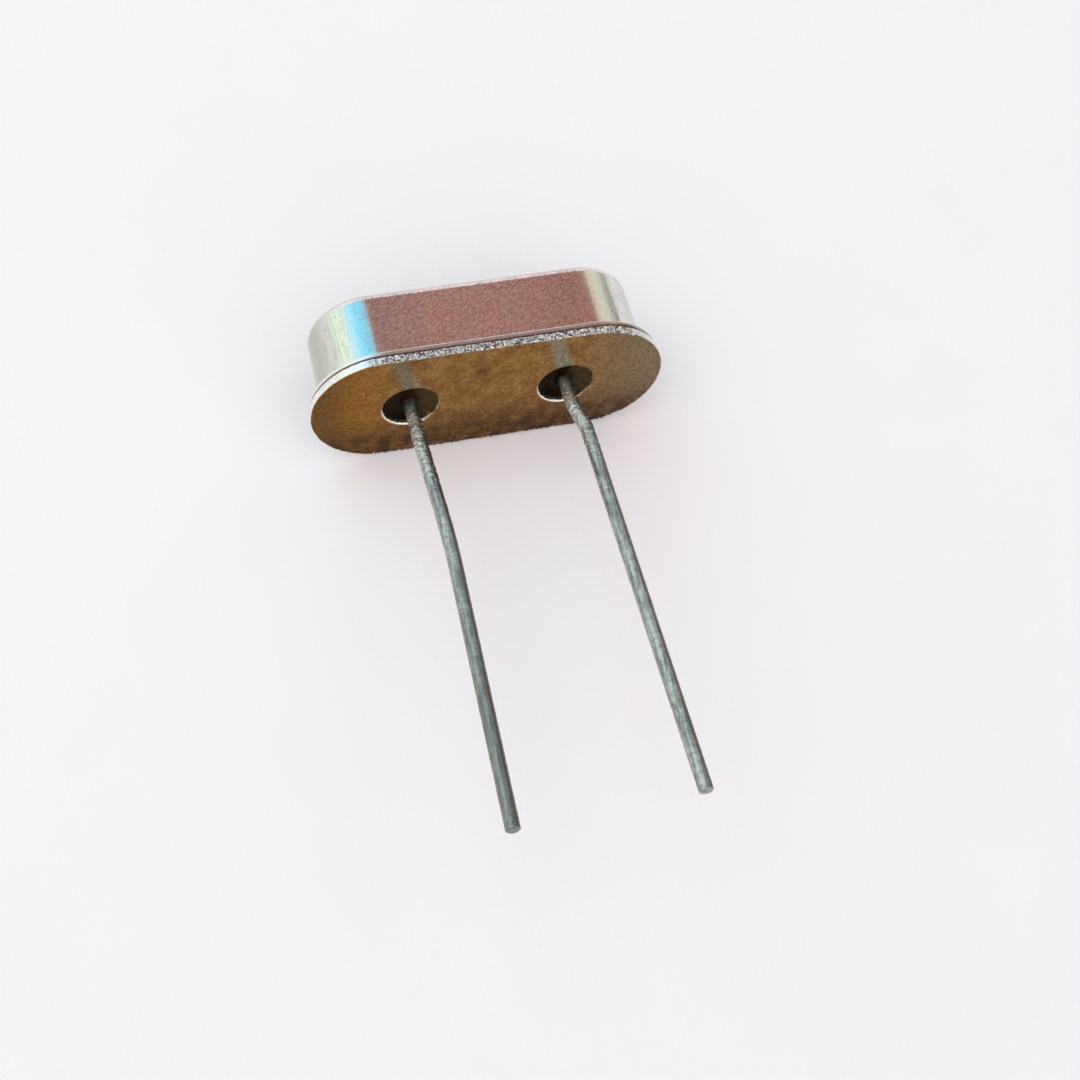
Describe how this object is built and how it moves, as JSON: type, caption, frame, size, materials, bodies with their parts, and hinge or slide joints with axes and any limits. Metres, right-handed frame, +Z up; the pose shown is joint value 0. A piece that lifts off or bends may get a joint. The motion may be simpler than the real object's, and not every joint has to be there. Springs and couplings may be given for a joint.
{
  "type": "crystal oscillator",
  "caption": "Through-hole quartz crystal in a low oblong welded metal can with a flanged base, glass-sealed wire leads and a quartz strip inside.",
  "frame": {"origin": "middle of the part's footprint, on the surface that it lies on", "axes": "+Z up; +X along the can's long side; -Y the way the leads point, +Y towards the top of the cap. The can leans by about 10 degrees, because it rests on its flange and on the cap's top edge"},
  "size_m": [0.011, 0.0172, 0.0051],
  "materials": {
    "cap": "nickel plated, satin with fine drawing and tumbling marks",
    "base": "nickel plated, satin, faintly mottled",
    "seal_glass": "dark, glossy, opaque sealing glass",
    "lead": "tinned iron-nickel-cobalt sealing alloy wire, dull with fine wrinkles",
    "clip": "thin nickel spring sheet, satin",
    "quartz": "lapped quartz, translucent, matt",
    "silver_film": "evaporated silver, matt white",
    "adhesive": "silver-filled epoxy, grey, matt"
  },
  "bodies": {
    "root": {"cap": "cap", "base": "base", "glass_seal_left": "seal_glass", "glass_seal_right": "seal_glass", "lead_left": "lead", "lead_right": "lead", "clip_left": "clip", "clip_right": "clip", "quartz_blank": "quartz", "electrode_top": "silver_film", "electrode_bottom": "silver_film", "adhesive_left": "adhesive", "adhesive_right": "adhesive"}
  },
  "joints": []
}
